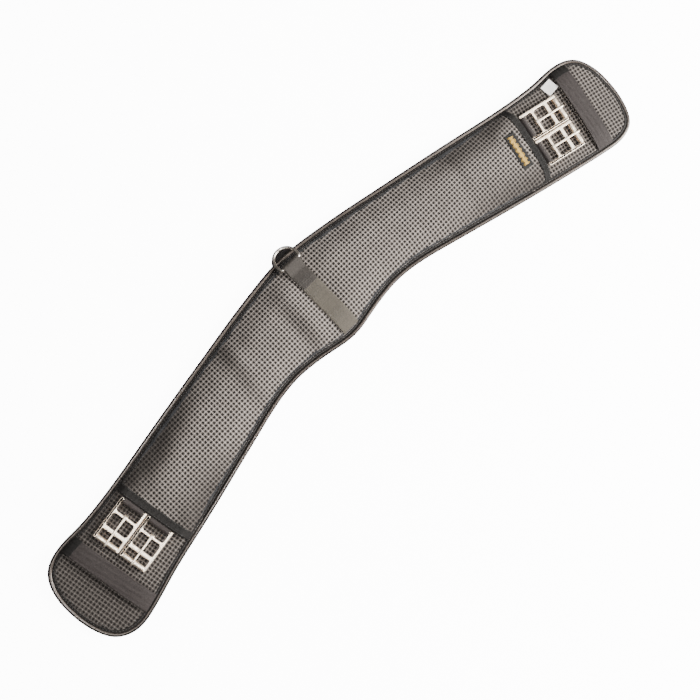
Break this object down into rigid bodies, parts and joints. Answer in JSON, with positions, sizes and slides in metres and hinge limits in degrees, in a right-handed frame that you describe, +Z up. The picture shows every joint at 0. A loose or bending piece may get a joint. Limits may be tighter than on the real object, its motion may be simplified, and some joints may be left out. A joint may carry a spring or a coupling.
{
  "type": "saddle girth",
  "caption": "Contoured padded saddle girth with roller buckles at both ends, webbing keepers and a D-ring on its front edge.",
  "frame": {"origin": "on the floor under the middle of the bounding box, with the lining's flat face on the floor", "axes": "+X along the chord from the left tab to the right tab, +Y towards the front (convex) edge with the D-ring, +Z up from the lining to the face with the buckles"},
  "size_m": [0.8384, 0.1862, 0.0237],
  "materials": {
    "waffle_cloth": "matte",
    "lining_cloth": "matte",
    "foam": "matte",
    "piping_vinyl": "gloss",
    "webbing": "matte",
    "centre_webbing": "matte",
    "binding_tape": "matte",
    "bright_steel": "satin",
    "dark_nickel": "polished",
    "woven_label": "matte",
    "white_tag": "matte"
  },
  "bodies": {
    "girth": {"lining": "lining_cloth", "foam_core": "foam", "centre_base_cloth": "lining_cloth", "left_tab_cover": "waffle_cloth", "right_tab_cover": "waffle_cloth", "centre_panel": "waffle_cloth", "edge_piping": "piping_vinyl", "left_pocket_tape": "binding_tape", "right_pocket_tape": "binding_tape", "left_keeper": "webbing", "right_keeper": "webbing", "left_front_buckle_strap": "webbing", "left_rear_buckle_strap": "webbing", "right_front_buckle_strap": "webbing", "right_rear_buckle_strap": "webbing", "centre_strap": "centre_webbing", "ring_tab": "binding_tape", "label_patch": "woven_label", "size_tag": "white_tag"},
    "left_front_buckle": {"left_front_buckle_frame": "bright_steel"},
    "left_front_tongue": {"left_front_buckle_tongue": "bright_steel"},
    "left_front_roller": {"left_front_buckle_roller": "bright_steel"},
    "left_rear_buckle": {"left_rear_buckle_frame": "bright_steel"},
    "left_rear_tongue": {"left_rear_buckle_tongue": "bright_steel"},
    "left_rear_roller": {"left_rear_buckle_roller": "bright_steel"},
    "right_front_buckle": {"right_front_buckle_frame": "bright_steel"},
    "right_front_tongue": {"right_front_buckle_tongue": "bright_steel"},
    "right_front_roller": {"right_front_buckle_roller": "bright_steel"},
    "right_rear_buckle": {"right_rear_buckle_frame": "bright_steel"},
    "right_rear_tongue": {"right_rear_buckle_tongue": "bright_steel"},
    "right_rear_roller": {"right_rear_buckle_roller": "bright_steel"},
    "d_ring": {"d_ring": "dark_nickel"}
  },
  "joints": [
    {"name": "left_front_buckle_tip", "type": "hinge", "parent": "girth", "child": "left_front_buckle", "pos_m": [-0.29735, 0.00224, 0.0131], "axis": [-0.1582, 0.9874, 0], "range_deg": [0, 60]},
    {"name": "left_front_tongue_swing", "type": "hinge", "parent": "left_front_buckle", "child": "left_front_tongue", "pos_m": [-0.31097, 0.00006, 0.0131], "axis": [-0.1582, 0.9874, 0], "range_deg": [0, 120]},
    {"name": "left_front_roller_spin", "type": "hinge", "parent": "left_front_buckle", "child": "left_front_roller", "pos_m": [-0.34188, -0.00489, 0.0131], "axis": [-0.1582, 0.9874, 0], "continuous": true},
    {"name": "left_rear_buckle_tip", "type": "hinge", "parent": "girth", "child": "left_rear_buckle", "pos_m": [-0.292, -0.03113, 0.0131], "axis": [-0.1582, 0.9874, 0], "range_deg": [0, 60]},
    {"name": "left_rear_tongue_swing", "type": "hinge", "parent": "left_rear_buckle", "child": "left_rear_tongue", "pos_m": [-0.30563, -0.03332, 0.0131], "axis": [-0.1582, 0.9874, 0], "range_deg": [0, 120]},
    {"name": "left_rear_roller_spin", "type": "hinge", "parent": "left_rear_buckle", "child": "left_rear_roller", "pos_m": [-0.33653, -0.03827, 0.0131], "axis": [-0.1582, 0.9874, 0], "continuous": true},
    {"name": "right_front_buckle_tip", "type": "hinge", "parent": "girth", "child": "right_front_buckle", "pos_m": [0.30608, -0.0035, 0.0131], "axis": [-0.2028, -0.9792, 0], "range_deg": [0, 60]},
    {"name": "right_front_tongue_swing", "type": "hinge", "parent": "right_front_buckle", "child": "right_front_tongue", "pos_m": [0.3196, -0.0063, 0.0131], "axis": [-0.2028, -0.9792, 0], "range_deg": [0, 120]},
    {"name": "right_front_roller_spin", "type": "hinge", "parent": "right_front_buckle", "child": "right_front_roller", "pos_m": [0.35024, -0.01264, 0.0131], "axis": [-0.2028, -0.9792, 0], "continuous": true},
    {"name": "right_rear_buckle_tip", "type": "hinge", "parent": "girth", "child": "right_rear_buckle", "pos_m": [0.29923, -0.0366, 0.0131], "axis": [-0.2028, -0.9792, 0], "range_deg": [0, 60]},
    {"name": "right_rear_tongue_swing", "type": "hinge", "parent": "right_rear_buckle", "child": "right_rear_tongue", "pos_m": [0.31274, -0.03939, 0.0131], "axis": [-0.2028, -0.9792, 0], "range_deg": [0, 120]},
    {"name": "right_rear_roller_spin", "type": "hinge", "parent": "right_rear_buckle", "child": "right_rear_roller", "pos_m": [0.34339, -0.04574, 0.0131], "axis": [-0.2028, -0.9792, 0], "continuous": true},
    {"name": "d_ring_swing", "type": "hinge", "parent": "girth", "child": "d_ring", "pos_m": [0.0022, 0.0712, 0.0198], "axis": [1, 0, 0], "range_deg": [0, 195]}
  ]
}
